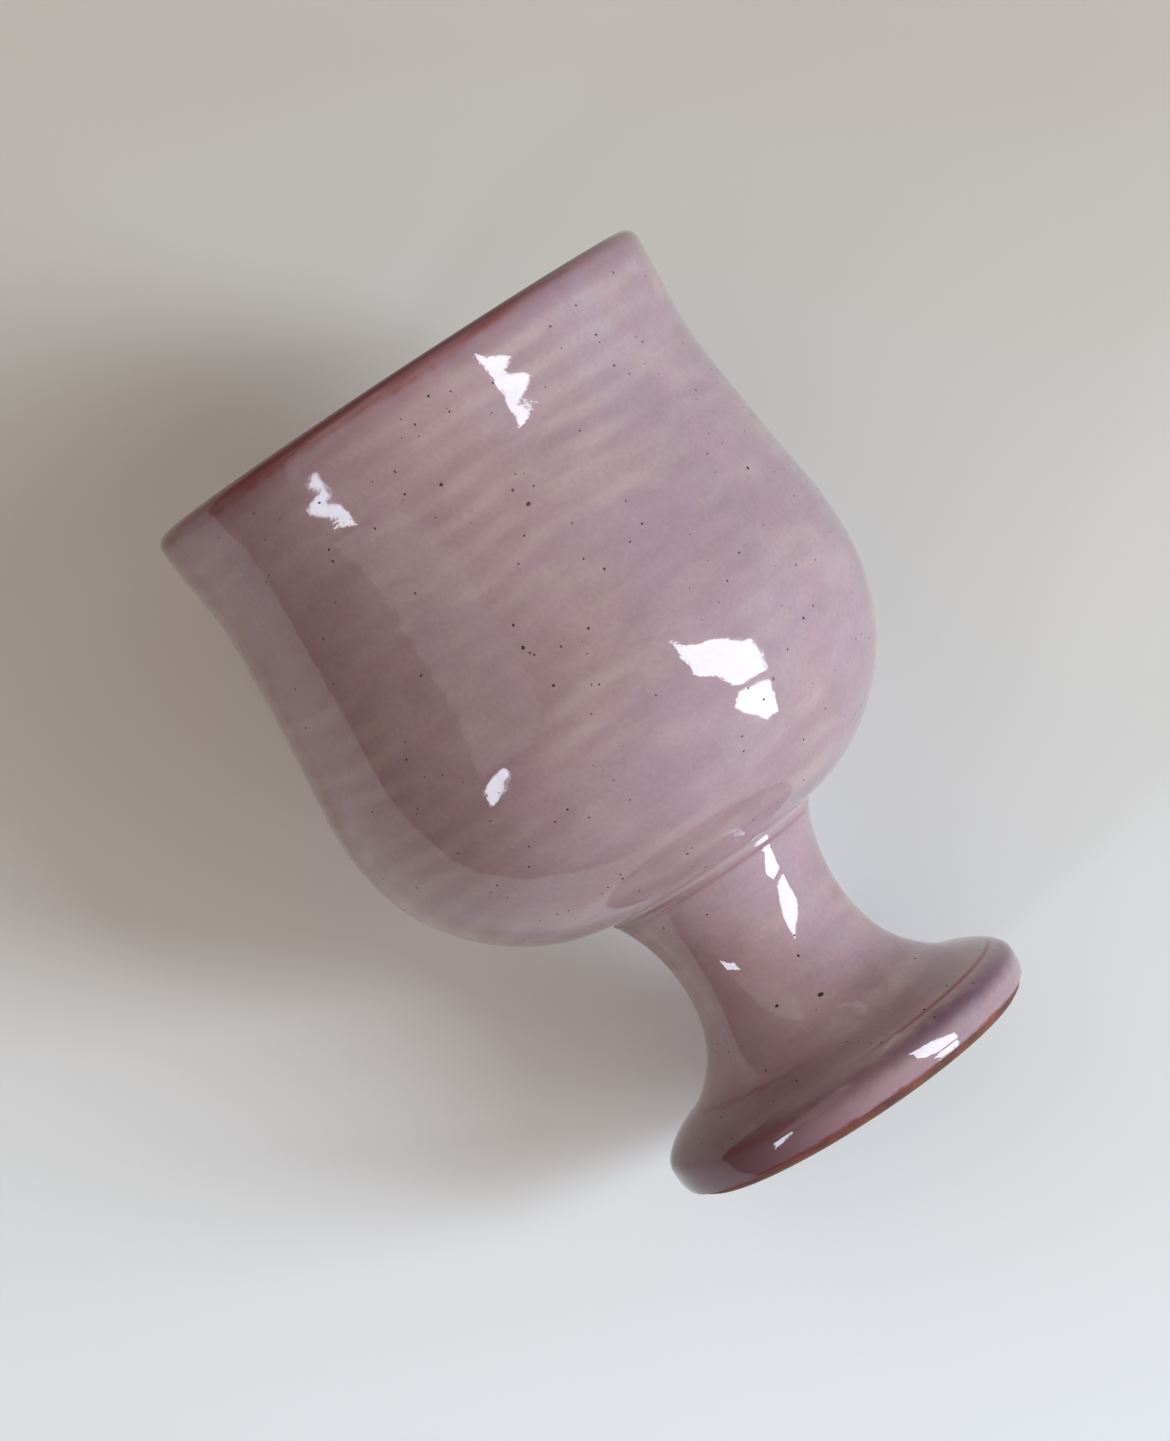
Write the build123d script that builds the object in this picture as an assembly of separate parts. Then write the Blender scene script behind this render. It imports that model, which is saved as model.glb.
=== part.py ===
from build123d import *
import os

# A hand-thrown pottery goblet of red-brown earthenware under a glossy glaze, standing upright.
# Millimetres. The origin is the centre of the foot ring's underside, and +Z runs up the goblet's axis.
# Every piece is turned about that axis, so each section is drawn with points (radius, height).
# The sizes are those of the bare clay, except HEIGHT, which takes in the glaze on the lip.

HEIGHT = 135.0
GLAZE = 0.45

# Bowl
BELLY_RADIUS = 46.8
BELLY_HEIGHT = 79.0
SHOULDER_RADIUS = 45.4
SHOULDER_HEIGHT = 93.0
WALL_RADIUS = 44.15
WALL_HEIGHT = 105.0
WAIST_RADIUS = 43.3
WAIST_HEIGHT = 117.5
LIP_RADIUS = 1.7
LIP_CENTRE_RADIUS = 42.75
LIP_CENTRE_HEIGHT = HEIGHT - GLAZE - LIP_RADIUS
WALL_THICKNESS = 4.0
FLOOR_HEIGHT = 50.0
UNDERSIDE_HEIGHT = 45.0

# Joint between the bowl and the pedestal, scored on both faces and luted with slip and a coil
JOINT_HEIGHT = 43.2
SLIP = 0.6
SEAT_HEIGHT = JOINT_HEIGHT + SLIP
SEAT_RADIUS = 16.8
SCORE_RADII = (4.0, 8.0, 12.0, 15.0)
SCORE_WIDTH = 0.8
SCORE_DEPTH = 0.6
COIL_RADIUS = 1.1
COIL_CENTRE_RADIUS = 17.25
COIL_CENTRE_HEIGHT = 44.1
COIL_CREASE_ANGLE = 54.0  # degrees below level, where the coil's glaze meets the stem's

# Pedestal
NECK_RADIUS = 17.9
STEM_RADIUS = 14.5
STEM_HEIGHT = 30.5
FOOT_CREASE_RADIUS = 22.9
FOOT_CREASE_HEIGHT = 11.7
FOOT_RADIUS = 32.0
FOOT_EDGE_HEIGHT = 5.6
FOOT_RING_OUTSIDE = 29.6
FOOT_RING_INSIDE = 24.5
GLAZE_LINE_RADIUS = 31.55
GLAZE_LINE_HEIGHT = 1.9
HOLLOW_RADIUS = 8.2
HOLLOW_HEIGHT = 37.0

UP = Vector(0, 0, 1)
OUT = Vector(1, 0, 0)


def at(radius, height):
    """A point of a section."""
    return Vector(radius, 0, height)


# Where the clay changes from one stretch to the next
RING_OUTER_EDGE = at(FOOT_RING_OUTSIDE, 0)
RING_INNER_EDGE = at(FOOT_RING_INSIDE, 0)
FOOT_EDGE = at(FOOT_RADIUS, FOOT_EDGE_HEIGHT)
FOOT_CREASE = at(FOOT_CREASE_RADIUS, FOOT_CREASE_HEIGHT)
NECK = at(NECK_RADIUS, JOINT_HEIGHT)
SEAT_EDGE = at(SEAT_RADIUS, SEAT_HEIGHT)
UNDERSIDE_EDGE = at(SEAT_RADIUS, UNDERSIDE_HEIGHT)
COIL_CENTRE = at(COIL_CENTRE_RADIUS, COIL_CENTRE_HEIGHT)
LIP_CENTRE = at(LIP_CENTRE_RADIUS, LIP_CENTRE_HEIGHT)

# Points that each stretch of clay passes through; the outer ones run from the foot up
FOOT_SIDE = (RING_OUTER_EDGE, at(GLAZE_LINE_RADIUS, GLAZE_LINE_HEIGHT), FOOT_EDGE)
FOOT_TOP = (FOOT_EDGE, at(30.6, 7.8), FOOT_CREASE)
STEM = (FOOT_CREASE, at(17.8, 17.0), at(STEM_RADIUS, STEM_HEIGHT), NECK)
BOWL_OUTSIDE = (
    UNDERSIDE_EDGE,
    at(24.7, 46.1),
    at(36.5, 53.2),
    at(44.5, 65.0),
    at(BELLY_RADIUS, BELLY_HEIGHT),
    at(SHOULDER_RADIUS, SHOULDER_HEIGHT),
    at(WALL_RADIUS, WALL_HEIGHT),
    at(WAIST_RADIUS, WAIST_HEIGHT),
    LIP_CENTRE + OUT * LIP_RADIUS,
)
BOWL_INSIDE = (
    LIP_CENTRE - OUT * LIP_RADIUS,
    at(WAIST_RADIUS - WALL_THICKNESS, WAIST_HEIGHT),
    at(WALL_RADIUS - WALL_THICKNESS, WALL_HEIGHT),
    at(SHOULDER_RADIUS - WALL_THICKNESS, SHOULDER_HEIGHT),
    at(BELLY_RADIUS - WALL_THICKNESS, BELLY_HEIGHT),
    at(39.6, 65.5),
    at(26.5, 53.6),
    at(0, FLOOR_HEIGHT),
)
HOLLOW = (
    RING_INNER_EDGE,
    at(16.5, 6.5),
    at(HOLLOW_RADIUS + 1.2, 17.0),
    at(HOLLOW_RADIUS, 28.0),
    at(0, HOLLOW_HEIGHT),
)


def turned(*edges):
    """The solid that a closed section makes round the axis."""
    return revolve(Face(Wire(edges)), Axis.Z)


def straight_path(*points):
    """Straight edges from each point to the next."""
    return [Line(first, second) for first, second in zip(points, points[1:])]


def curves():
    """The curved stretches of the clay's surface, by name."""
    return {
        "foot_side": Spline(*FOOT_SIDE, tangents=(OUT + UP * 0.4, UP)),
        "foot_top": Spline(*FOOT_TOP, tangents=(UP, UP * 0.5 - OUT)),
        "stem": Spline(*STEM, tangents=(UP * 0.85 - OUT, UP + OUT * 0.55)),
        "bowl_outside": Spline(*BOWL_OUTSIDE, tangents=(OUT, UP)),
        "bowl_inside": Spline(*BOWL_INSIDE, tangents=(-UP, -OUT)),
        "hollow": Spline(*HOLLOW, tangents=(UP * 1.2 - OUT, -OUT)),
    }


def lip_quarter(direction, radius):
    """Quarter round of the lip, from its outer side (OUT) or its inner side (-OUT) to its top."""
    return TangentArc(LIP_CENTRE + direction * radius, LIP_CENTRE + UP * radius, tangent=UP)


def away_from_clay(curve, where):
    """Direction square to a clay curve, out of the clay."""
    along = curve.tangent_at(where)
    return Vector(along.Z, 0, -along.X)


def raised(curve, point):
    """The point on top of the glaze over a point of a clay curve."""
    return point + away_from_clay(curve, point) * GLAZE


def glaze_crease(lower, upper):
    """Where the glaze surfaces over two clay curves meet, at the corner between the curves."""
    square = away_from_clay(lower, 1.0)
    middle = (square + away_from_clay(upper, 0.0)).normalized()
    return (lower @ 1) + middle * (GLAZE / middle.dot(square))


def glaze_surface(curve, points, start=None, end=None):
    """The top of the glaze along a clay curve; start and end replace its ends at a crease."""
    surface = [raised(curve, point) for point in points]
    surface[0] = start or surface[0]
    surface[-1] = end or surface[-1]
    return Spline(*surface, tangents=(curve % 0, curve % 1))


def disc(radius, floor, thickness):
    """A round plate on the axis that stands on the height given."""
    return Pos(0, 0, floor) * Cylinder(radius, thickness, align=(Align.CENTER, Align.CENTER, Align.MIN))


def score_rings(floor):
    """Rings scratched into a joint face, as solids that stand on the height given."""
    half = SCORE_WIDTH / 2
    rings = Part()
    for radius in SCORE_RADII:
        rings += disc(radius + half, floor, SCORE_DEPTH) - disc(radius - half, floor, SCORE_DEPTH)
    return rings


def bowl_blank(clay):
    """The bowl before its hollow is opened: its outer form, filled up to the top of the lip."""
    top = LIP_CENTRE + UP * LIP_RADIUS
    closing = straight_path(top, at(0, top.Z), at(0, SEAT_HEIGHT), SEAT_EDGE, UNDERSIDE_EDGE)
    return turned(clay["bowl_outside"], lip_quarter(OUT, LIP_RADIUS), *closing)


def bowl(clay):
    """Thrown bowl, with the seat under it scored for the slip."""
    seat = straight_path(at(0, FLOOR_HEIGHT), at(0, SEAT_HEIGHT), SEAT_EDGE, UNDERSIDE_EDGE)
    lip = (lip_quarter(OUT, LIP_RADIUS), lip_quarter(-OUT, LIP_RADIUS))
    return turned(clay["bowl_outside"], *lip, clay["bowl_inside"], *seat) - score_rings(SEAT_HEIGHT)


def pedestal_blank(clay):
    """The pedestal before its hollow and its scoring are cut."""
    closing = straight_path(NECK, at(0, JOINT_HEIGHT), at(0, 0), RING_OUTER_EDGE)
    return turned(clay["foot_side"], clay["foot_top"], clay["stem"], *closing)


def pedestal(clay):
    """Thrown stem and foot in one piece, hollow from below, with a scored top."""
    top = straight_path(NECK, at(0, JOINT_HEIGHT), at(0, HOLLOW_HEIGHT))
    ring = straight_path(RING_INNER_EDGE, RING_OUTER_EDGE)
    body = turned(clay["foot_side"], clay["foot_top"], clay["stem"], *top, clay["hollow"], *ring)
    return body - score_rings(JOINT_HEIGHT - SCORE_DEPTH)


def joint_slip():
    """Layer of slip between the two scored faces, with a ridge in every scored ring."""
    layer = disc(SEAT_RADIUS, JOINT_HEIGHT, SLIP)
    return layer + score_rings(JOINT_HEIGHT - SCORE_DEPTH) + score_rings(SEAT_HEIGHT)


def collar_coil(clay):
    """Luting coil pressed into the corner round the joint."""
    ring = revolve(Plane.XZ * Pos(COIL_CENTRE_RADIUS, COIL_CENTRE_HEIGHT) * Circle(COIL_RADIUS), Axis.Z)
    return ring - bowl_blank(clay) - pedestal(clay) - joint_slip()


def outer_glaze(clay):
    """Glaze coat over the outside, from the top of the lip down to the line above the foot ring."""
    foot_crease = glaze_crease(clay["foot_top"], clay["stem"])
    roll_radius = COIL_RADIUS + GLAZE
    neck = COIL_CENTRE + OUT.rotate(Axis.Y, COIL_CREASE_ANGLE) * roll_radius
    roll = COIL_CENTRE + OUT.rotate(Axis.Y, COIL_CREASE_ANGLE / 2) * roll_radius
    underside = at(COIL_CENTRE_RADIUS + roll_radius, UNDERSIDE_HEIGHT - GLAZE)
    lip_top = LIP_CENTRE + UP * (LIP_RADIUS + GLAZE)
    clay_top = LIP_CENTRE + UP * LIP_RADIUS
    foot_bottom = raised(clay["foot_side"], RING_OUTER_EDGE)
    envelope = turned(
        glaze_surface(clay["foot_side"], FOOT_SIDE),
        glaze_surface(clay["foot_top"], FOOT_TOP, end=foot_crease),
        glaze_surface(clay["stem"], STEM, start=foot_crease, end=neck),
        ThreePointArc(neck, roll, underside),
        glaze_surface(clay["bowl_outside"], BOWL_OUTSIDE, start=underside),
        lip_quarter(OUT, LIP_RADIUS + GLAZE),
        *straight_path(lip_top, clay_top, at(0, clay_top.Z), at(0, foot_bottom.Z), foot_bottom),
    )
    below_line = disc(FOOT_RADIUS * 2, -HEIGHT, HEIGHT + GLAZE_LINE_HEIGHT)
    coat = envelope - below_line
    return coat - bowl_blank(clay) - pedestal_blank(clay) - collar_coil(clay) - joint_slip()


def liner_glaze(clay):
    """Glaze coat over the whole inside of the bowl, up to the top of the lip."""
    inside = clay["bowl_inside"]
    surface = glaze_surface(inside, BOWL_INSIDE)
    lip_top = LIP_CENTRE + UP * (LIP_RADIUS + GLAZE)
    clay_top = LIP_CENTRE + UP * LIP_RADIUS
    closing = straight_path(clay_top, lip_top) + straight_path(surface @ 1, inside @ 1)
    return turned(
        lip_quarter(-OUT, LIP_RADIUS),
        inside,
        lip_quarter(-OUT, LIP_RADIUS + GLAZE),
        surface,
        *closing,
    )


def main():
    clay = curves()
    nodes = {
        "bowl": bowl(clay),
        "pedestal": pedestal(clay),
        "joint_slip": joint_slip(),
        "collar_coil": collar_coil(clay),
        "outer_glaze": outer_glaze(clay),
        "liner_glaze": liner_glaze(clay),
    }
    os.makedirs("parts", exist_ok=True)
    for name, solid in nodes.items():
        export_step(solid, f"parts/{name}.step")


main()
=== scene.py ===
import math
import random

import bpy
import numpy as np
from mathutils import Matrix, Vector


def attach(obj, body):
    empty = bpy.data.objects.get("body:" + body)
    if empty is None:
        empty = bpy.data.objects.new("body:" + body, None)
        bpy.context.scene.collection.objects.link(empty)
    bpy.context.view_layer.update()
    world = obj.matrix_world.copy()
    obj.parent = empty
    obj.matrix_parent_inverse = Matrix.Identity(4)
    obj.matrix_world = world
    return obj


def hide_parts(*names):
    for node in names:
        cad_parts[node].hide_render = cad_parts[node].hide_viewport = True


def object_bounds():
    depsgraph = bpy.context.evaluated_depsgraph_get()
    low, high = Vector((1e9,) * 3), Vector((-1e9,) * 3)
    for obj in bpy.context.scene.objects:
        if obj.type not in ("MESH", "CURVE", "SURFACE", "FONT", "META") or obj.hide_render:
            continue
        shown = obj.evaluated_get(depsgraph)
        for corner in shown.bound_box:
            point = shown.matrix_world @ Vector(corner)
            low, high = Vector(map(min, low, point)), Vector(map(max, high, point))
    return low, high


# A hand-thrown goblet in glossy lilac glaze over red-brown earthenware, lying against a sheet of white
# paper that stands in for the floor. The goblet keeps the upright frame of the CAD model, so the paper
# leans on its back, touching the bowl's belly and the foot's edge.
#
# Outlines are in millimetres, as points (radius, height); MM turns them into the frame's metres.

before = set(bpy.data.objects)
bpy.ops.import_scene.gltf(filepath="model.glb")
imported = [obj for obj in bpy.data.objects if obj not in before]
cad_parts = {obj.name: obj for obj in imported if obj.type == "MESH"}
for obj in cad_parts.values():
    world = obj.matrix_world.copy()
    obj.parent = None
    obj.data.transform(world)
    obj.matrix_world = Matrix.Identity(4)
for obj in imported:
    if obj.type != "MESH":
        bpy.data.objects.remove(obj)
CAD_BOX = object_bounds()

MM = 0.001
HEIGHT = (CAD_BOX[1].z - CAD_BOX[0].z) / MM

# The same driving sizes as the CAD part has: the glaze's thickness, then the clay
GLAZE = 0.45
UNDERSIDE_EDGE = (16.8, 45.0)
BELLY = (46.8, 79.0)
SHOULDER = (45.4, 93.0)
UPPER_WALL = (44.15, 105.0)
WAIST = (43.3, 117.5)
WALL = 4.0
LIP_RADIUS = 1.7
LIP_CENTRE = (42.75, HEIGHT - GLAZE - LIP_RADIUS)
FLOOR_HEIGHT = 50.0
JOINT_HEIGHT = 43.2
SEAT_HEIGHT = 43.8
SEAT_RADIUS = 16.8
SCORE_RADII = (4.0, 8.0, 12.0, 15.0)
SCORE_WIDTH = 0.8
SCORE_DEPTH = 0.6
COIL_CENTRE = (17.25, 44.1)
COIL_RADIUS = 1.1
COIL_CREASE_ANGLE = 54.0
NECK = (17.9, JOINT_HEIGHT)
FOOT_EDGE = (32.0, 5.6)
FOOT_CREASE = (22.9, 11.7)
RING_OUTSIDE = 29.6
RING_INSIDE = 24.5
GLAZE_LINE = (31.55, 1.9)
HOLLOW_TOP = 37.0

BOWL_OUTSIDE = (
    UNDERSIDE_EDGE,
    (24.7, 46.1),
    (36.5, 53.2),
    (44.5, 65.0),
    BELLY,
    SHOULDER,
    UPPER_WALL,
    WAIST,
    (LIP_CENTRE[0] + LIP_RADIUS, LIP_CENTRE[1]),
)
BOWL_INSIDE = (
    (LIP_CENTRE[0] - LIP_RADIUS, LIP_CENTRE[1]),
    (WAIST[0] - WALL, WAIST[1]),
    (UPPER_WALL[0] - WALL, UPPER_WALL[1]),
    (SHOULDER[0] - WALL, SHOULDER[1]),
    (BELLY[0] - WALL, BELLY[1]),
    (39.6, 65.5),
    (26.5, 53.6),
    (0.0, FLOOR_HEIGHT),
)
FOOT_SIDE = ((RING_OUTSIDE, 0.0), GLAZE_LINE, FOOT_EDGE)
FOOT_TOP = (FOOT_EDGE, (30.6, 7.8), FOOT_CREASE)
STEM = (FOOT_CREASE, (17.8, 17.0), (14.5, 30.5), NECK)
HOLLOW = ((RING_INSIDE, 0.0), (16.5, 6.5), (9.4, 17.0), (8.2, 28.0), (0.0, HOLLOW_TOP))

# What differs from the CAD part: the fired glaze ran a little below its line, and the foot ring's inner
# edge is worn round
GLAZE_RUN = 0.8
GLAZE_END = GLAZE_LINE[1] - GLAZE_RUN
RING_ROUNDING = 0.5

# The lip's arc, in degrees from the outward direction, is a little short of a half turn
LIP_START, LIP_TOP, LIP_END = 4, 90, 176

# How fine the meshes are, in millimetres along the outline and in steps round the axis, and from which
# angle in degrees an edge is sharp
GLAZE_ROW = 0.6
GLAZE_STEPS = 384
CLAY_ROW = 1.2
CLAY_STEPS = 192
PAPER_ROW = 2.0
SHARP_ANGLE = 38.0

# What the thrower's hands left, in millimetres, with the number of waves that make up the undulation
OVAL = 0.18
LEAN = 0.25
RIM_WAVE = 0.15
RING_DEPTH = 0.022
RING_PITCH = 4.4
UNDULATION = 0.012
UNDULATION_WAVES = 28
UNDULATION_LENGTHS = (3.5, 11.0)
GLAZE_LINE_WANDER = 0.35

# The heights over which the rings and the lean begin and end, and the rim's wave begins
RINGS_BEGIN, RINGS_END = (50, 62), (126, 131)
LEAN_BEGINS, LEAN_ENDS = (3, 40), (60, 110)
RIM_WAVE_BEGINS = 100

# Specks of iron burnt through the glaze. The largest are listed one by one, as (degrees round the axis
# from +X, height, diameter), and the rest are scattered.
LARGE_SPECKS = (
    (-81, 18.7, 0.9),
    (-104, 20.8, 0.6),
    (-78, 25.1, 0.5),
    (-29, 14.1, 0.5),
    (-46, 70.1, 0.55),
    (-59, 65.5, 0.6),
    (-96, 83.5, 0.5),
    (-85, 87.8, 0.5),
    (-97, 90.7, 0.6),
    (-34, 93.7, 0.6),
    (-81, 107.7, 0.7),
    (-82, 110.9, 0.5),
    (-93, 117.4, 0.6),
    (-48, 117.9, 0.5),
    (-48, 123.4, 0.5),
    (-57, 128.3, 0.5),
)
SMALL_SPECKS = 460
SMALL_SPECK_SIZES = (0.18, 0.44)
INSIDE_SPECKS = 90
FOOT_SPECKS = 23
SPECK_RISE = 0.05
SPECK_SIDES = 10
# The specks on the wall are fewer where it is narrow, and there are none within this radius
SPECK_FREE_RADIUS = 10

# The camera in front of the goblet: its distance and height in heights of the goblet, how far it looks
# down and to the left and how far it is rolled, in radians, and its lens in millimetres
CAMERA_DISTANCE = 5.0
CAMERA_HEIGHT = 0.8745
CAMERA_DOWN = 0.0659
CAMERA_LEFT = 0.0062
CAMERA_ROLL = 0.5873
CAMERA_LENS = 106.2

# Directions in the picture: to its right, up, and out of it towards the camera
RIGHT = Vector((math.cos(CAMERA_ROLL), 0, -math.sin(CAMERA_ROLL)))
UPWARD = Vector((math.sin(CAMERA_ROLL), 0, math.cos(CAMERA_ROLL)))
TOWARD = Vector((0, -1, 0))

# The goblet's own axis
AXIS = Vector((0, 0, 1))

random.seed(7)
chance = np.random.default_rng(7)


# ---------------------------------------------------------------- curves

def smooth(points, start, end, row):
    """Points every row millimetres along the smooth curve through the given points.

    start and end are the directions in which it leaves and arrives.
    """
    knots = np.array(points, float)
    steps = np.hypot(*np.diff(knots, axis=0).T)
    count = len(knots)
    matrix = np.zeros((count, count))
    wanted = np.zeros((count, 2))
    matrix[0, 0] = matrix[-1, -1] = 1
    wanted[0] = np.array(start) / np.hypot(*start)
    wanted[-1] = np.array(end) / np.hypot(*end)
    for i in range(1, count - 1):
        before, after = steps[i - 1], steps[i]
        matrix[i, i - 1 : i + 2] = after, 2 * (before + after), before
        rise = (knots[i] - knots[i - 1]) * after / before + (knots[i + 1] - knots[i]) * before / after
        wanted[i] = 3 * rise
    slopes = np.linalg.solve(matrix, wanted)
    dense = [knots[:1]]
    u = np.linspace(0, 1, 41)[1:, None]
    for i in range(count - 1):
        dense.append(
            (2 * u**3 - 3 * u**2 + 1) * knots[i]
            + (u**3 - 2 * u**2 + u) * steps[i] * slopes[i]
            + (3 * u**2 - 2 * u**3) * knots[i + 1]
            + (u**3 - u**2) * steps[i] * slopes[i + 1]
        )
    return even(np.vstack(dense), row)


def even(points, row):
    """The same path with its points row millimetres apart, or a little less."""
    along = np.concatenate([[0], np.cumsum(np.hypot(*np.diff(points, axis=0).T))])
    wanted = np.linspace(0, along[-1], max(2, math.ceil(along[-1] / row) + 1))
    return np.column_stack([np.interp(wanted, along, points[:, k]) for k in (0, 1)])


def arc(centre, radius, first, last, count):
    """Points on an arc, with its angles in degrees from the outward direction."""
    angle = np.radians(np.linspace(first, last, count))
    return np.column_stack([centre[0] + radius * np.cos(angle), centre[1] + radius * np.sin(angle)])


def raised(path, height):
    """The path moved sideways by height, to the right of the way it runs, which is out of the clay."""
    along = np.gradient(path, axis=0)
    along /= np.hypot(*along.T)[:, None]
    return path + height * np.column_stack([along[:, 1], -along[:, 0]])


def joined(*stretches):
    """One path from several, without points that repeat."""
    path = np.vstack([np.atleast_2d(stretch) for stretch in stretches])
    step = np.hypot(*np.diff(path, axis=0).T)
    return path[np.concatenate([[True], step > 0.02])]


def rounded_crease(path, corner, radius):
    """The path with the points near a corner drawn into a soft curve."""
    rounds, pull = 12, 0.8
    away = np.hypot(*(path - corner).T)
    weight = np.clip(1 - away / radius, 0, 1)[:, None]
    soft = path.copy()
    for _ in range(rounds):
        soft[1:-1] += weight[1:-1] * ((soft[:-2] + soft[2:]) / 2 - soft[1:-1]) * pull
    return soft


# ---------------------------------------------------------------- surfaces of the goblet

def clay_curves(row):
    """The curved stretches of the clay's surface, each with its points row apart."""
    return {
        "foot_side": smooth(FOOT_SIDE, (1, 0.4), (0, 1), row),
        "foot_top": smooth(FOOT_TOP, (0, 1), (-1, 0.5), row),
        "stem": smooth(STEM, (-1, 0.85), (0.55, 1), row),
        "bowl_outside": smooth(BOWL_OUTSIDE, (1, 0), (0, 1), row),
        "bowl_inside": smooth(BOWL_INSIDE, (0, -1), (-1, 0), row),
        "hollow": smooth(HOLLOW, (-1, 1.2), (-1, 0), row),
    }


def bead(clay_point, surface_point):
    """The rounded lower edge of the glaze, from the clay out to the surface, which begins GLAZE higher."""
    across = surface_point - clay_point
    return [
        clay_point + across * share + (0, GLAZE * (1 - math.sqrt(1 - share**4)))
        for share in (0.0, 0.4, 0.7, 0.9)
    ]


def glazed_outside(clay):
    """Outline of the outer glaze: up its outer surface, over the lip, and back down the clay."""
    foot = joined(clay["foot_side"], clay["foot_top"])
    foot = foot[foot[:, 1] > GLAZE_END]
    stem = clay["stem"][:-1]
    under = clay["bowl_outside"][clay["bowl_outside"][:, 0] > COIL_CENTRE[0] + COIL_RADIUS + GLAZE]
    collar = arc(COIL_CENTRE, COIL_RADIUS, -COIL_CREASE_ANGLE, COIL_CREASE_ANGLE, 14)
    clay_side = joined(foot, stem, collar, under, arc(LIP_CENTRE, LIP_RADIUS, LIP_START, LIP_TOP, 14))
    stem = stem[stem[:, 1] < COIL_CENTRE[1] - COIL_RADIUS - GLAZE / 2]
    surface = joined(
        raised(foot, GLAZE),
        raised(stem, GLAZE),
        arc(COIL_CENTRE, COIL_RADIUS + GLAZE, -COIL_CREASE_ANGLE, 10, 14),
        raised(under, GLAZE),
        arc(LIP_CENTRE, LIP_RADIUS + GLAZE, LIP_START, LIP_TOP, 18),
    )
    foot_corner = (FOOT_CREASE[0] + 0.3, FOOT_CREASE[1] + 0.3)
    coil_corner = (COIL_CENTRE[0] + COIL_RADIUS + GLAZE, UNDERSIDE_EDGE[1])
    surface = rounded_crease(surface, foot_corner, 1.6)
    surface = rounded_crease(surface, coil_corner, 1.2)
    edge = bead(clay_side[0], surface[0])
    surface[0] += (0, GLAZE)
    return joined(edge, surface, clay_side[::-1])


def glazed_inside(clay):
    """Outline of the liner glaze, from the lip's top down the inside to the axis, and back."""
    lip = arc(LIP_CENTRE, LIP_RADIUS, LIP_TOP, LIP_END, 14)
    lip_surface = arc(LIP_CENTRE, LIP_RADIUS + GLAZE, LIP_TOP, LIP_END, 18)
    inside = clay["bowl_inside"]
    surface = raised(inside, GLAZE)
    surface[-1, 0] = 0
    return joined(lip_surface, surface, inside[::-1], lip[::-1])


def scored(height, depth):
    """A joint face from the axis out to the seat's edge, with the scored rings cut to the given depth."""
    path = [(0, height)]
    for radius in SCORE_RADII:
        inner, outer = radius - SCORE_WIDTH / 2, radius + SCORE_WIDTH / 2
        path += [(inner, height), (inner, height + depth), (outer, height + depth), (outer, height)]
    return np.array(path + [(SEAT_RADIUS, height)])


def bowl_outline(clay):
    """The thrown bowl: its outside, the lip, the inside and the scored seat."""
    lip = arc(LIP_CENTRE, LIP_RADIUS, LIP_START, LIP_END, 24)
    seat = scored(SEAT_HEIGHT, SCORE_DEPTH)
    return joined(clay["bowl_outside"], lip, clay["bowl_inside"], seat)


def pedestal_outline(clay):
    """Stem and foot, with the scored top and the hollow under the foot."""
    top = scored(JOINT_HEIGHT, -SCORE_DEPTH)[::-1]
    ring = arc((RING_INSIDE + RING_ROUNDING, RING_ROUNDING), RING_ROUNDING, 180, 270, 5)
    hollow = clay["hollow"][::-1]
    hollow = hollow[hollow[:, 1] > RING_ROUNDING]
    return joined(clay["foot_side"], clay["foot_top"], clay["stem"], top, hollow, ring)


def slip_outline():
    """The layer of slip in the joint, with its ridges in the scored rings."""
    return joined(scored(JOINT_HEIGHT, -SCORE_DEPTH), scored(SEAT_HEIGHT, SCORE_DEPTH)[::-1])


def coil_outline():
    """The part of the luting coil that stands out of the corner round the joint."""
    face = arc(COIL_CENTRE, COIL_RADIUS, -COIL_CREASE_ANGLE, COIL_CREASE_ANGLE, 20)
    return joined(face, [UNDERSIDE_EDGE, (SEAT_RADIUS, JOINT_HEIGHT)])


# ---------------------------------------------------------------- the thrower's hands

def eased(value, low, high):
    """0 below low, 1 above high, and a smooth rise between."""
    t = np.clip((value - low) / (high - low), 0, 1)
    return t * t * (3 - 2 * t)


# Each wave's direction, phase and length
WAVES = [
    (chance.normal(size=3), chance.uniform(0, 2 * math.pi), chance.uniform(*UNDULATION_LENGTHS))
    for _ in range(UNDULATION_WAVES)
]


def undulation(points):
    """Gentle unevenness, as a sum of waves in random directions. A longer wave is a higher one."""
    usual_length = 8
    total = np.zeros(len(points))
    for direction, phase, length in WAVES:
        along = points @ (direction / np.linalg.norm(direction))
        total += np.sin(2 * math.pi * along / length + phase) * length / usual_length
    return total / math.sqrt(len(WAVES))


def throwing_rings(angle, z):
    """The rings that the fingers left as they rose, deeper in some places than in others."""
    up = z / HEIGHT
    turns = z / RING_PITCH + angle / (2 * math.pi)
    patchy = 0.55 + 0.45 * np.sin(2 * angle + 5.1 * up) * np.sin(9 * up + angle)
    rings = RING_DEPTH * patchy * np.sin(2 * math.pi * turns + 1.3 * np.sin(3 * angle))
    share = eased(z, *RINGS_BEGIN) * (1 - eased(z, *RINGS_END))
    return rings * share


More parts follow.
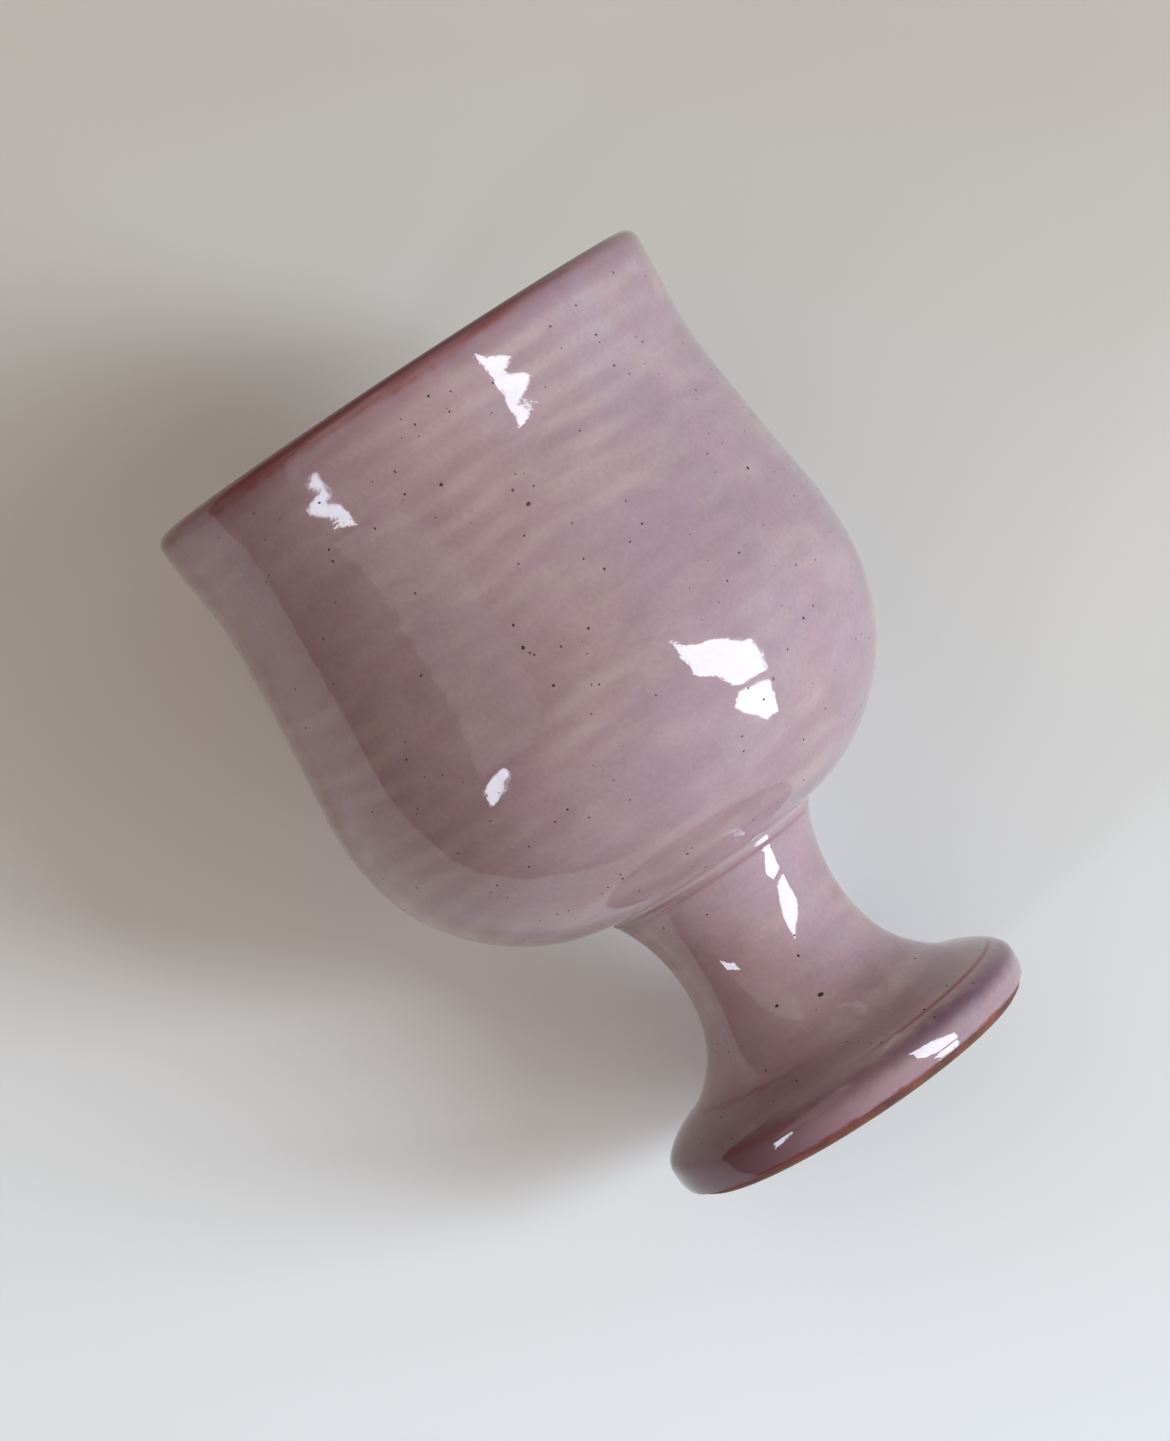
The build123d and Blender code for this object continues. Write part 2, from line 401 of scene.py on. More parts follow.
def hand_thrown(points):
    """Moves points of the true round form to where the thrown, fired goblet has them.

    The foot's underside stays as it is, so the goblet stands flat.
    """
    x, y, z = points.T
    angle = np.arctan2(y, x)
    radius = np.hypot(x, y)
    up = z / HEIGHT
    oval = OVAL * up**2 * np.cos(2 * angle + 0.7)
    uneven = throwing_rings(angle, z) + oval + UNDULATION * undulation(points)
    swell = uneven * eased(radius, 2, 12) * eased(z, 0.5, 4)
    grown = 1 + swell / np.maximum(radius, 1)
    lean = LEAN * np.sin(2 * math.pi * up * 1.6) * eased(z, *LEAN_BEGINS) * (1 - eased(z, *LEAN_ENDS))
    wave = RIM_WAVE * eased(z, RIM_WAVE_BEGINS, HEIGHT) * np.sin(2 * angle - 0.6)
    return np.column_stack([x * grown + lean, y * grown, z + wave])


# ---------------------------------------------------------------- meshes

def turned(outline, steps):
    """Vertices and faces of the closed form that an outline makes round the axis."""
    angle = np.linspace(0, 2 * math.pi, steps, endpoint=False)
    rows, points = [], []
    for radius, height in outline:
        if radius < 1e-6:
            rows.append([len(points)] * steps)
            points.append((0.0, 0.0, height))
            continue
        rows.append(range(len(points), len(points) + steps))
        points += zip(radius * np.cos(angle), radius * np.sin(angle), [height] * steps)
    faces = []
    for i, row in enumerate(rows):
        above = rows[(i + 1) % len(rows)]
        for j in range(steps):
            k = (j + 1) % steps
            corners = dict.fromkeys((row[j], row[k], above[k], above[j]))
            if len(corners) > 2:
                faces.append(tuple(corners))
    return np.array(points), faces


def piece(name, points, faces, material, node=None):
    """A piece of the goblet from points in millimetres, riding on the goblet's body."""
    mesh = bpy.data.meshes.new(name)
    mesh.from_pydata((points * MM).tolist(), [], faces)
    mesh.materials.append(material)
    mesh.polygons.foreach_set("use_smooth", [True] * len(mesh.polygons))
    mesh.set_sharp_from_angle(angle=math.radians(SHARP_ANGLE))
    mesh.validate()
    made = bpy.data.objects.new(name, mesh)
    bpy.context.scene.collection.objects.link(made)
    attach(made, "root")
    if node:
        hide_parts(node)
    return made


def thrown_piece(name, outline, steps, material):
    """A turned piece that stands for the CAD node of the same name."""
    points, faces = turned(outline, steps)
    return piece(name, hand_thrown(points), faces, material, node=name.removeprefix("thrown_"))


def glaze_line_wander(points):
    """Moves the lower edge of the glaze up and down, as where a wet sponge wiped it off the foot."""
    x, y, z = points.T
    angle = np.arctan2(y, x)
    waves_round, usual_wander, fade = (1, 2, 3, 5, 8, 13, 21), 1.6, 2.6
    wander = sum(np.sin(k * angle + 2.1 * k * k) / (1 + 0.35 * k) for k in waves_round)
    moved = points.copy()
    moved[:, 2] += GLAZE_LINE_WANDER * wander / usual_wander * (1 - eased(z, GLAZE_END, GLAZE_END + fade))
    return moved


def outer_glaze(clay, material):
    """The glaze coat of the outside, with its wandering lower edge."""
    points, faces = turned(glazed_outside(clay), GLAZE_STEPS)
    points = hand_thrown(glaze_line_wander(points))
    return piece("thrown_outer_glaze", points, faces, material, node="outer_glaze")


def speck(point, outward, size):
    """Points and faces of one speck: a low closed dome, sunk a little into the glaze."""
    across = outward.cross(AXIS).normalized()
    along = outward.cross(across)
    points = [point + outward * SPECK_RISE]
    for share, rise in ((0.6, 0.75), (1.0, -0.05)):
        stretch = random.uniform(0.8, 1.2)
        for k in range(SPECK_SIDES):
            turn = 2 * math.pi * k / SPECK_SIDES
            reach = size / 2 * share * random.uniform(0.88, 1.12)
            sideways = across * math.cos(turn) * reach * stretch + along * math.sin(turn) * reach / stretch
            points.append(point + sideways + outward * SPECK_RISE * rise)
    points.append(point - outward * SPECK_RISE * 2)
    last = 2 * SPECK_SIDES + 1
    faces = []
    for k in range(SPECK_SIDES):
        inner, next_inner = 1 + k, 1 + (k + 1) % SPECK_SIDES
        outer, next_outer = inner + SPECK_SIDES, next_inner + SPECK_SIDES
        faces.append((0, inner, next_inner))
        faces.append((inner, outer, next_outer, next_inner))
        faces.append((outer, last, next_outer))
    return points, faces


def glaze_over(path):
    """Points on the glaze over a path on the clay, and the way the glaze runs at each of them."""
    surface = raised(path, GLAZE)
    return surface, np.gradient(surface, axis=0)


def scattered(surface, runs, rows):
    """A small speck on each of the rows, anywhere round the axis."""
    return [
        (surface[i], runs[i], random.uniform(0, 360), random.uniform(*SMALL_SPECK_SIZES))
        for i in rows
    ]


def speck_places(clay):
    """Where the specks are: (outline point, the way it runs there, degrees round the axis, diameter)."""
    wall, wall_runs = glaze_over(joined(clay["stem"][2:-4], clay["bowl_outside"][12:-2]))
    inside, inside_runs = glaze_over(clay["bowl_inside"])
    foot, foot_runs = glaze_over(clay["foot_top"])
    places = []
    for degrees, height, size in LARGE_SPECKS:
        i = int(np.argmin(abs(wall[:, 1] - height)))
        places.append((wall[i], wall_runs[i], degrees, size))
    room = wall[2:-2, 0] - SPECK_FREE_RADIUS
    wall_rows = random.choices(range(2, len(wall) - 2), weights=room, k=SMALL_SPECKS)
    # These two draw each row just before the rest of its speck
    inside_rows = (random.randrange(4, len(inside) - 12) for _ in range(INSIDE_SPECKS))
    foot_rows = (random.randrange(3, len(foot) - 3) for _ in range(FOOT_SPECKS))
    places += scattered(wall, wall_runs, wall_rows)
    places += scattered(inside, inside_runs, inside_rows)
    places += scattered(foot, foot_runs, foot_rows)
    return places


def iron_specks(clay, material):
    """All the specks, as one piece that rides with the glaze."""
    points, faces = [], []
    for (radius, height), (run, rise), degrees, size in speck_places(clay):
        turn = math.radians(degrees)
        round_out = Vector((math.cos(turn), math.sin(turn), 0))
        outward = (round_out * rise - AXIS * run).normalized()
        made, joins = speck(round_out * radius + AXIS * height, outward, size)
        faces += [tuple(len(points) + k for k in face) for face in joins]
        points += [tuple(p) for p in made]
    return piece("iron_specks", hand_thrown(np.array(points)), faces, material)


# ---------------------------------------------------------------- materials

class Finish:
    """A material's node tree, built with short calls that each return an output socket.

    place is where a point of the surface is, in millimetres, across its X and height its Z.
    """

    def __init__(self, name):
        self.material = bpy.data.materials.new(name)
        self.material.use_nodes = True
        self.nodes = self.material.node_tree.nodes
        self.links = self.material.node_tree.links
        self.shader = self.nodes["Principled BSDF"]
        place = self.nodes.new("ShaderNodeTexCoord").outputs["Object"]
        self.place = self.vector("SCALE", place, scale=1 / MM)
        self.across, _, self.height = self.parts(self.place)

    def feed(self, socket, value):
        """Links an output to a socket, or sets the socket to a plain value."""
        if isinstance(value, bpy.types.NodeSocket):
            self.links.new(value, socket)
        else:
            socket.default_value = value

    def vector(self, operation, first, second=None, scale=None):
        """The result of a vector math node."""
        node = self.nodes.new("ShaderNodeVectorMath")
        node.operation = operation
        self.feed(node.inputs[0], first)
        if second is not None:
            self.feed(node.inputs[1], second)
        if scale is not None:
            node.inputs["Scale"].default_value = scale
        return node.outputs[0]

    def parts(self, vector):
        """The X, Y and Z of a vector."""
        node = self.nodes.new("ShaderNodeSeparateXYZ")
        self.links.new(vector, node.inputs[0])
        return node.outputs

    def math(self, operation, *values):
        """The result of a math node, or of a chain of them where there are more than two values."""
        node = self.nodes.new("ShaderNodeMath")
        node.operation = operation
        for socket, value in zip(node.inputs, values[:2]):
            self.feed(socket, value)
        if len(values) > 2:
            return self.math(operation, node.outputs[0], *values[2:])
        return node.outputs[0]

    def product(self, *shares):
        """The shares multiplied together."""
        return self.math("MULTIPLY", *shares)

    def noise(self, size, detail, stretch=(1, 1, 1)):
        """Noise from 0 to 1 whose patches are about size millimetres, longer along a smaller stretch."""
        node = self.nodes.new("ShaderNodeTexNoise")
        self.feed(node.inputs["Vector"], self.vector("MULTIPLY", self.place, stretch))
        node.inputs["Scale"].default_value = 1 / size
        node.inputs["Detail"].default_value = detail
        return node.outputs["Fac"]

    def ramp(self, value, low, high, to_low=0.0, to_high=1.0):
        """The value's range low to high, spread smoothly over to_low to to_high."""
        node = self.nodes.new("ShaderNodeMapRange")
        node.interpolation_type = "SMOOTHSTEP"
        self.feed(node.inputs["Value"], value)
        for name, number in (("From Min", low), ("From Max", high), ("To Min", to_low), ("To Max", to_high)):
            node.inputs[name].default_value = number
        return node.outputs["Result"]

    def blend(self, share, first, second, mode="MIX"):
        """The first colour, going over to the second as the share rises to 1."""
        node = self.nodes.new("ShaderNodeMix")
        node.data_type = "RGBA"
        node.blend_type = mode
        # Its colour sockets are numbers 6 and 7, and 2 among the outputs
        self.feed(node.inputs["Factor"], share)
        for socket, colour in ((node.inputs[6], first), (node.inputs[7], second)):
            self.feed(socket, colour if isinstance(colour, bpy.types.NodeSocket) else (*colour, 1))
        return node.outputs[2]

    def line(self, centre, half_width, value=None):
        """1 at a height, or at another value's centre, fading to 0 half_width away."""
        away = self.math("ABSOLUTE", self.math("SUBTRACT", value or self.height, centre))
        return self.ramp(away, 0, half_width, 1, 0)

    def bump(self, height, distance, below=None):
        """A surface normal from a height of 0 to 1 that stands for distance millimetres."""
        node = self.nodes.new("ShaderNodeBump")
        node.inputs["Distance"].default_value = distance * MM
        self.links.new(height, node.inputs["Height"])
        if below:
            self.links.new(below, node.inputs["Normal"])
        return node.outputs["Normal"]

    def done(self, **inputs):
        """The finished material, with its shader's inputs set or linked by name."""
        for name, value in inputs.items():
            self.feed(self.shader.inputs[name.replace("_", " ")], value)
        return self.material


# The glaze where it is even, where it is thin or thick, and where the clay shows through it. DARK_PLUM is
# also painted shade on the foot.
LILAC = (0.338, 0.218, 0.248)
ROSE = (0.330, 0.207, 0.220)
BEIGE = (0.435, 0.312, 0.300)
PLUM = (0.215, 0.110, 0.138)
DARK_PLUM = (0.130, 0.060, 0.080)
RUST = (0.200, 0.045, 0.038)

# The bare materials, each with the two colours that it goes between
CLAY_COLOURS = (0.090, 0.022, 0.014), (0.170, 0.048, 0.027)
SLIP_COLOURS = (0.22, 0.08, 0.045), (0.30, 0.12, 0.07)
IRON_COLOURS = (0.020, 0.010, 0.012), (0.09, 0.03, 0.025)

# Grains of grog in the clay, and the clay where it is rubbed
GROG = (0.24, 0.12, 0.09)
RUBBED_CLAY = (0.30, 0.16, 0.11)


def clouded(f):
    """The glaze's ground: lilac with clouds of rose and warmer patches."""
    clouds = f.ramp(f.noise(26, 3), 0.38, 0.62)
    warm = f.ramp(f.noise(15, 3, stretch=(1, 1, 1.6)), 0.45, 0.68)
    return f.blend(f.product(warm, 0.30), f.blend(clouds, LILAC, ROSE), BEIGE)


def banded(f, colour):
    """Paler bands a throwing ring apart, which drift up and down and fade out in patches."""
    drift = f.product(f.noise(45, 2), 2.0)
    turns = f.math("ADD", f.math("DIVIDE", f.height, RING_PITCH), drift)
    bands = f.ramp(f.math("SINE", f.product(turns, 2 * math.pi)), -0.8, 1.0)
    patches = f.ramp(f.noise(24, 2), 0.42, 0.60, 0.12, 1.0)
    breaks = f.ramp(f.noise(5, 2, stretch=(0.3, 0.3, 1)), 0.3, 0.6, 0.35, 1.0)
    return f.blend(f.product(bands, patches, breaks, 0.46), colour, BEIGE)


def mottled(f, colour):
    """The same colour a little lighter and darker, in flecks drawn out round the goblet and in fine grain."""
    flecks = f.ramp(f.noise(4, 3, stretch=(0.4, 0.4, 1)), 0.25, 0.75, 0.94, 1.06)
    grain = f.ramp(f.noise(0.8, 3), 0.2, 0.8, 0.94, 1.05)
    return f.blend(1.0, colour, f.product(flecks, grain), mode="MULTIPLY")


def glaze_tints_and_painted_shade(f, height, uneven, colour):
    """Plum near the lip and on the foot, with painted shade on the foot's shoulder and towards its -X end."""
    blush = f.product(f.ramp(height, HEIGHT - 6.5, HEIGHT - 2.0), 0.70, uneven)
    # Plum on the foot's side, stronger towards -X partly as painted shade.
    side = f.product(f.ramp(height, 8.0, 5.5), f.ramp(f.across, -30, 20, 0.75, 0.35))
    # Painted shade: a darker band over the foot's shoulder, stronger towards +X.
    shoulder_painted_shade = f.product(f.line(6.4, 2.8, height), f.ramp(f.across, -20, 20, 0.55, 0.90))
    # Darker plum at the foot's -X end: partly the glaze's own colour, partly painted shade.
    foot_end_painted_shade = f.product(f.ramp(height, 15.0, 7.0), f.ramp(f.across, -26, 0, 0.6, 0.0))
    for share, tint in ((blush, PLUM), (side, PLUM), (shoulder_painted_shade, DARK_PLUM), (foot_end_painted_shade, DARK_PLUM)):
        colour = f.blend(share, colour, tint)
    return colour


def broken(f, height, uneven):
    """How far the clay shows through the glaze, where it thins at the lip and along edges and creases.

    left and right are the goblet's sides in the picture, towards -X and +X.
    """
    left = f.ramp(f.across, -24, 4, 1.0, 0.0)
    right = f.ramp(f.across, -6, 20, 0.0, 1.0)
    streaks = f.ramp(f.noise(1.2, 2, stretch=(0.06, 0.06, 1)), 0.35, 0.6, 0.45, 1.0)
    lip = f.ramp(height, HEIGHT - 3.3, HEIGHT - 1.7)
    lip = f.product(lip, uneven, f.ramp(f.across, 0, 40, 1.0, 0.25), streaks)
    foot_edge = f.product(f.line(FOOT_EDGE[1] + 1.0, 0.8, height), left, 0.5)
    ridge = f.product(f.line(FOOT_EDGE[1] + 3.2, 0.35), right, 0.85)
    wiped = f.ramp(height, GLAZE_END + 1.0, GLAZE_END + 0.3)
    crease = f.product(f.line(FOOT_CREASE[1] + 0.2, 0.5, height), left, 0.45)
    collar = f.product(f.line(COIL_CENTRE[1] - COIL_RADIUS - 0.1, 0.6), 0.32)
    return f.math("MAXIMUM", lip, foot_edge, ridge, wiped, crease, collar)


def glaze_material():
    """Glossy lilac glaze: clouded, banded where the rings thin it, and rust-brown where it breaks."""
    f = Finish("glossy_lilac_glaze")
    ragged = f.product(f.math("SUBTRACT", f.noise(2.2, 4), 0.5), 1.3)
    ragged_height = f.math("ADD", f.height, ragged)
    uneven = f.ramp(f.noise(20, 2), 0.3, 0.6, 0.7, 1.0)
    colour = mottled(f, banded(f, clouded(f)))
    colour = glaze_tints_and_painted_shade(f, ragged_height, uneven, colour)
    # A painted highlight: a pale beige line along the top of the collar coil.
    collar_painted_highlight = f.product(f.line(COIL_CENTRE[1] + 0.4, 1.0), 0.8)
    colour = f.blend(collar_painted_highlight, colour, BEIGE)
    colour = f.blend(broken(f, ragged_height, uneven), colour, RUST)
    gloss = f.ramp(f.noise(7, 3), 0.3, 0.7, 0.025, 0.065)
    orange_peel = f.bump(f.noise(1.7, 2), 0.012)
    orange_peel = f.bump(f.noise(0.6, 2), 0.0035, below=orange_peel)
    return f.done(Base_Color=colour, Roughness=gloss, Normal=orange_peel, IOR=1.5)


def clay_material():
    """Bare fired earthenware: grainy, blotched, and rubbed paler where the foot ring stands."""
    f = Finish("red_brown_earthenware")
    blotch = f.ramp(f.noise(6, 4), 0.35, 0.65)
    grog = f.ramp(f.noise(0.5, 2), 0.62, 0.7)
    rubbed = f.product(f.ramp(f.height, 0.5, 0.0), f.ramp(f.noise(5, 4), 0.35, 0.7))
    colour = f.blend(blotch, *CLAY_COLOURS)
    colour = f.blend(f.product(grog, 0.5), colour, GROG)
    colour = f.blend(f.product(rubbed, 0.4), colour, RUBBED_CLAY)
    rings = f.bump(f.noise(1.8, 2, stretch=(0.08, 0.08, 1)), 0.08)
    rough = f.bump(f.noise(0.35, 4), 0.05, below=rings)
    return f.done(Base_Color=colour, Roughness=f.ramp(blotch, 0, 1, 0.72, 0.9), Normal=rough)


def slip_material():
    """Fired slip of the same clay: smoother and a little paler."""
    f = Finish("fired_slip")
    colour = f.blend(f.ramp(f.noise(3, 3), 0.35, 0.65), *SLIP_COLOURS)
    return f.done(Base_Color=colour, Roughness=0.8, Normal=f.bump(f.noise(0.4, 3), 0.03))


def iron_material():
    """Iron burnt through the glaze: near black, with a rusty tint in places."""
    f = Finish("burnt_iron")
    colour = f.blend(f.ramp(f.noise(9, 1), 0.45, 0.6), *IRON_COLOURS)
    return f.done(Base_Color=colour, Roughness=0.25)


# ---------------------------------------------------------------- stage, lights and camera

ROOM_CENTRE = AXIS * (HEIGHT * MM / 2)

# The paper, in metres to the left, right, below and above the goblet's middle in the picture
PAPER_LEFT, PAPER_RIGHT, PAPER_BELOW, PAPER_ABOVE = 0.50, 0.58, 0.42, 0.55
# It goes from warm grey at the top to cool white at the bottom, over twice PAPER_FADE metres: painted
# light, standing in for the room's light growing stronger towards the bottom.
PAPER_TOP, PAPER_BOTTOM, PAPER_FADE = (0.585, 0.548, 0.495), (0.835, 0.86, 0.885), 0.115
# How far it stays clear of the glaze
PAPER_GAP = 0.0003

# A window to the right, as seen from the goblet. Points are (up, out), for each metre to the right.
WINDOW_DISTANCE = 1.6
UPPER_PANE = ((0.56, 1.85), (0.26, 0.48), (0.00, 0.33), (-0.06, 0.60), (0.02, 0.88), (0.13, 1.27))
LOWER_PANE = ((-0.07, 0.30), (-0.29, 0.10), (-0.35, 0.19), (-0.25, 0.57), (-0.12, 0.56))
WINDOW_LIGHT = (14.2, 16.1, 17.8)

# A smaller, dimmer window to the left. Points are (up, out), for each metre to the left.
SIDE_PANE = ((-0.86, 1.30), (-1.00, 0.84), (-1.20, 0.84), (-1.08, 1.40))
SIDE_LIGHT = (12.0, 13.3, 15.2)

# A pale wall above that window. The dark band down the goblet's left side reflects what lies between
# this wall and the paper.
WALL_PANE = ((-0.76, 0.82), (-0.76, 2.60), (1.20, 2.60), (1.20, 0.82))
WALL_LIGHT = (0.95, 0.84, 0.84)

# Two lamps that show what the photograph doesn't: a weak one behind, and a beam into the bowl. Distances
# and sizes are in metres and powers in watts.
REAR_DIRECTION = Vector((0, 1, 0.15))
REAR_DISTANCE, REAR_SIZE, REAR_POWER = 1.5, 0.5, 9
MOUTH_DISTANCE, MOUTH_BLEND, MOUTH_POWER = 1.2, 0.3, 60


def stage_mesh(name, corners, material):
    """A flat stage piece from its corners."""
    mesh = bpy.data.meshes.new(name)
    mesh.from_pydata([tuple(c) for c in corners], [], [tuple(range(len(corners)))])
    mesh.materials.append(material)
    made = bpy.data.objects.new(name, mesh)
    bpy.context.scene.collection.objects.link(made)
    return made


def paper_painted_light_fade(nodes, links):
    """The paper's colour, which changes with how far up the picture a point is: painted light, darker and
    warmer higher up.
    """
    rise = nodes.new("ShaderNodeVectorMath")
    rise.operation = "DOT_PRODUCT"
    rise.inputs[1].default_value = UPWARD
    links.new(nodes.new("ShaderNodeTexCoord").outputs["Object"], rise.inputs[0])
    fade = nodes.new("ShaderNodeMapRange")
    fade.inputs["From Min"].default_value = ROOM_CENTRE.dot(UPWARD) - PAPER_FADE
    fade.inputs["From Max"].default_value = ROOM_CENTRE.dot(UPWARD) + PAPER_FADE
    links.new(rise.outputs["Value"], fade.inputs["Value"])
    tone = nodes.new("ShaderNodeMix")
    tone.data_type = "RGBA"
    tone.inputs[6].default_value = (*PAPER_BOTTOM, 1)
    tone.inputs[7].default_value = (*PAPER_TOP, 1)
    links.new(fade.outputs["Result"], tone.inputs["Factor"])
    return tone.outputs[2]


def paper_material():
    """White paper from the front, and clear from behind, so that the goblet's back can be seen.

    It casts no shadow, so the rear lamp reaches the goblet through it.
    """
    material = bpy.data.materials.new("white_paper")
    material.use_nodes = True
    nodes, links = material.node_tree.nodes, material.node_tree.links
    paper = nodes["Principled BSDF"]
    paper.inputs["Roughness"].default_value = 0.8
    links.new(paper_painted_light_fade(nodes, links), paper.inputs["Base Color"])
    clear = nodes.new("ShaderNodeBsdfTransparent")
    unseen = nodes.new("ShaderNodeMath")
    unseen.operation = "MAXIMUM"
    links.new(nodes.new("ShaderNodeNewGeometry").outputs["Backfacing"], unseen.inputs[0])
    links.new(nodes.new("ShaderNodeLightPath").outputs["Is Shadow Ray"], unseen.inputs[1])
    mixed = nodes.new("ShaderNodeMixShader")
    links.new(unseen.outputs[0], mixed.inputs[0])
    links.new(paper.outputs[0], mixed.inputs[1])
    links.new(clear.outputs[0], mixed.inputs[2])
    links.new(mixed.outputs[0], nodes["Material Output"].inputs["Surface"])
    return material


def paper_sheet():
    """The sheet, leaning on the goblet's back at the belly and the foot's edge."""
    rise = (BELLY[1] - FOOT_EDGE[1]) * MM
    lean = math.atan2((BELLY[0] - FOOT_EDGE[0]) * MM, rise)
    outward = Vector((0, -math.cos(lean), math.sin(lean)))
    curves = clay_curves(PAPER_ROW)
    outside = joined(*(curves[name] for name in ("foot_side", "foot_top", "stem", "bowl_outside")))
    surface = raised(outside, GLAZE)
    reach = max(r * math.cos(lean) - z * math.sin(lean) for r, z in surface) * MM + PAPER_GAP
    corners = []
    for across, up in (
        (-PAPER_LEFT, -PAPER_BELOW),
        (PAPER_RIGHT, -PAPER_BELOW),
        (PAPER_RIGHT, PAPER_ABOVE),
        (-PAPER_LEFT, PAPER_ABOVE),
    ):
        place = ROOM_CENTRE + RIGHT * across + UPWARD * up
        corners.append(place - outward * (place.dot(outward) + reach))
    return stage_mesh("paper_sheet", corners, paper_material())


def glowing(name, light):
    """A material that gives off the given light, in linear RGB."""
    material = bpy.data.materials.new(name)
    material.use_nodes = True
    nodes, links = material.node_tree.nodes, material.node_tree.links
    glow = nodes.new("ShaderNodeEmission")
    glow.inputs["Color"].default_value = (*[c / max(light) for c in light], 1)
    glow.inputs["Strength"].default_value = max(light)
    links.new(glow.outputs[0], nodes["Material Output"].inputs["Surface"])
    return material


def window(name, pane, side, light):
    """A bright pane WINDOW_DISTANCE to one side. It shows only in its light and its reflection."""
    corners = [ROOM_CENTRE + (side + UPWARD * up + TOWARD * out) * WINDOW_DISTANCE for up, out in pane]
    made = stage_mesh(name, corners, glowing(name, light))
    made.visible_camera = False
    return made


def lamp(name, kind, place, power):
    """A lamp of some kind, which shines straight down until it is turned."""
    data = bpy.data.lights.new(name, kind)
    data.energy = power
    made = bpy.data.objects.new(name, data)
    made.location = place
    bpy.context.scene.collection.objects.link(made)
    return made


def rear_lamp():
    """A weak square lamp behind the goblet."""
    direction = REAR_DIRECTION.normalized()
    made = lamp("rear_lamp", "AREA", ROOM_CENTRE + direction * REAR_DISTANCE, REAR_POWER)
    made.data.size = REAR_SIZE
    made.rotation_euler = direction.to_track_quat("Z", "Y").to_euler()
    made.visible_camera = False


def mouth_lamp():
    """A narrow beam down the goblet's axis, as wide as the bowl's mouth."""
    made = lamp("mouth_lamp", "SPOT", AXIS * (HEIGHT * MM + MOUTH_DISTANCE), MOUTH_POWER)
    made.data.spot_size = 2 * math.atan2((LIP_CENTRE[0] - LIP_RADIUS) * MM, MOUTH_DISTANCE)
    made.data.spot_blend = MOUTH_BLEND
    made.data.shadow_soft_size = 0.0


# The room's light from each direction, which fades to nothing a quarter turn away
ROOM = (
    (TOWARD, (0.69, 0.53, 0.375)),
    (RIGHT, (0.70, 1.10, 1.32)),
    (-UPWARD, (0.06, 0.06, 0.06)),
    (-RIGHT, (0.04, 0.035, 0.03)),
)
BACKDROP = (0.78, 0.78, 0.78)


def room():
    """The room's light. The camera itself sees a plain pale backdrop instead."""
    world = bpy.data.worlds.new("room")
    world.use_nodes = True
    bpy.context.scene.world = world
    nodes, links = world.node_tree.nodes, world.node_tree.links
    direction = nodes.new("ShaderNodeTexCoord").outputs["Generated"]
    total = None
    for axis, colour in ROOM:
        facing = nodes.new("ShaderNodeVectorMath")
        facing.operation = "DOT_PRODUCT"
        facing.inputs[1].default_value = axis
        links.new(direction, facing.inputs[0])
        front = nodes.new("ShaderNodeMath")
        front.operation = "MAXIMUM"
        front.inputs[1].default_value = 0
        links.new(facing.outputs["Value"], front.inputs[0])
        squared = nodes.new("ShaderNodeMath")
        squared.operation = "POWER"
        squared.inputs[1].default_value = 2
        links.new(front.outputs[0], squared.inputs[0])
        tinted = nodes.new("ShaderNodeVectorMath")
        tinted.operation = "SCALE"
        tinted.inputs[0].default_value = colour
        links.new(squared.outputs[0], tinted.inputs["Scale"])
        if total:
            sum_node = nodes.new("ShaderNodeVectorMath")
            links.new(total, sum_node.inputs[0])
            links.new(tinted.outputs[0], sum_node.inputs[1])
            total = sum_node.outputs[0]
        else:
            total = tinted.outputs[0]
    seen = nodes.new("ShaderNodeMix")
    seen.data_type = "RGBA"
    links.new(nodes.new("ShaderNodeLightPath").outputs["Is Camera Ray"], seen.inputs["Factor"])
    links.new(total, seen.inputs[6])
    seen.inputs[7].default_value = (*BACKDROP, 1)
    links.new(seen.outputs[2], nodes["Background"].inputs["Color"])
    world.cycles.sampling_method = "NONE"


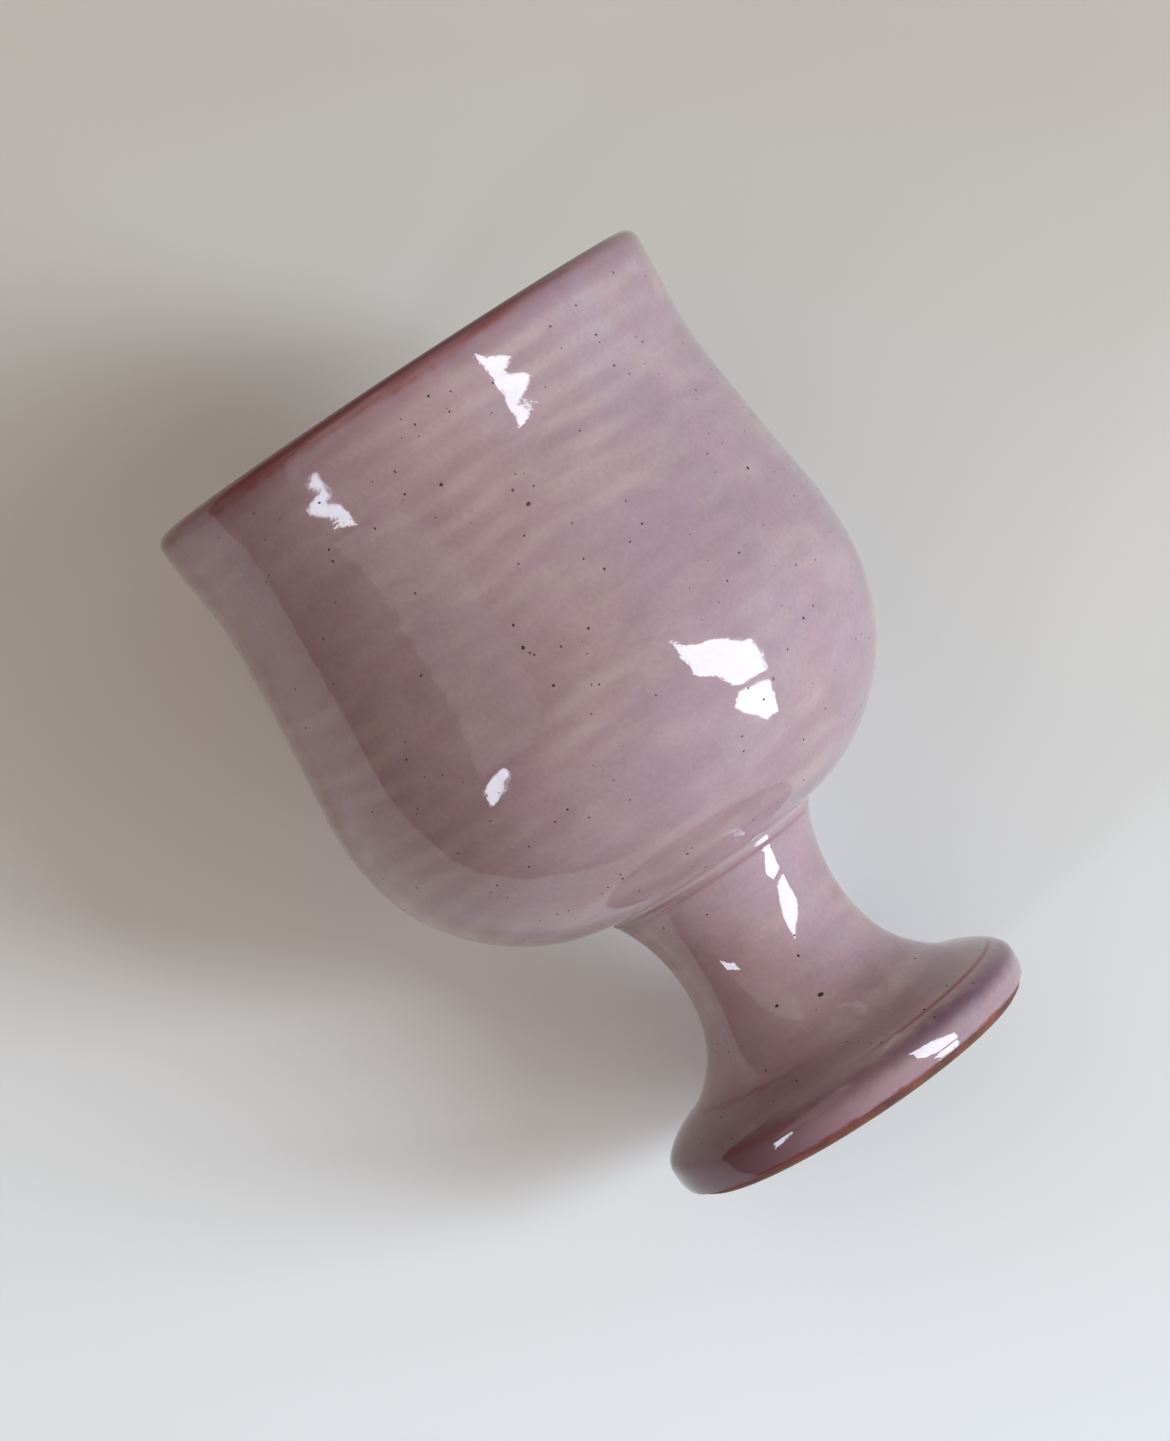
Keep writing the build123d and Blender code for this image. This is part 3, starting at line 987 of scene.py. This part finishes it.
def camera():
    """The camera, in front of the goblet and rolled, so that the goblet lies across the picture."""
    data = bpy.data.cameras.new("camera")
    data.lens = CAMERA_LENS
    data.clip_start = 0.01
    made = bpy.data.objects.new("camera", data)
    look = Vector((
        -math.sin(CAMERA_LEFT) * math.cos(CAMERA_DOWN),
        math.cos(CAMERA_LEFT) * math.cos(CAMERA_DOWN),
        -math.sin(CAMERA_DOWN),
    ))
    level = look.cross(AXIS).normalized()
    above = level.cross(look)
    across = level * math.cos(CAMERA_ROLL) - above * math.sin(CAMERA_ROLL)
    upright = level * math.sin(CAMERA_ROLL) + above * math.cos(CAMERA_ROLL)
    made.matrix_world = Matrix((
        (across.x, upright.x, -look.x, 0),
        (across.y, upright.y, -look.y, -CAMERA_DISTANCE * HEIGHT * MM),
        (across.z, upright.z, -look.z, CAMERA_HEIGHT * HEIGHT * MM),
        (0, 0, 0, 1),
    ))
    bpy.context.scene.collection.objects.link(made)
    bpy.context.scene.camera = made
    bpy.context.scene.view_settings.view_transform = "Standard"


# ---------------------------------------------------------------- the scene

def goblet():
    """All the goblet's pieces, in place of the CAD nodes."""
    glaze, clay, slip = glaze_material(), clay_material(), slip_material()
    coarse, fine = clay_curves(CLAY_ROW), clay_curves(GLAZE_ROW)
    thrown_piece("thrown_bowl", bowl_outline(coarse), CLAY_STEPS, clay)
    thrown_piece("thrown_pedestal", pedestal_outline(coarse), GLAZE_STEPS, clay)
    thrown_piece("thrown_joint_slip", slip_outline(), CLAY_STEPS, slip)
    thrown_piece("thrown_collar_coil", coil_outline(), CLAY_STEPS, clay)
    thrown_piece("thrown_liner_glaze", glazed_inside(fine), GLAZE_STEPS, glaze)
    outer_glaze(fine, glaze)
    iron_specks(fine, iron_material())


goblet()
paper_sheet()
window("window_upper_pane", UPPER_PANE, RIGHT, WINDOW_LIGHT)
window("window_lower_pane", LOWER_PANE, RIGHT, WINDOW_LIGHT)
window("side_window_pane", SIDE_PANE, -RIGHT, SIDE_LIGHT)
window("pale_wall", WALL_PANE, -RIGHT, WALL_LIGHT)
rear_lamp()
mouth_lamp()
room()
camera()
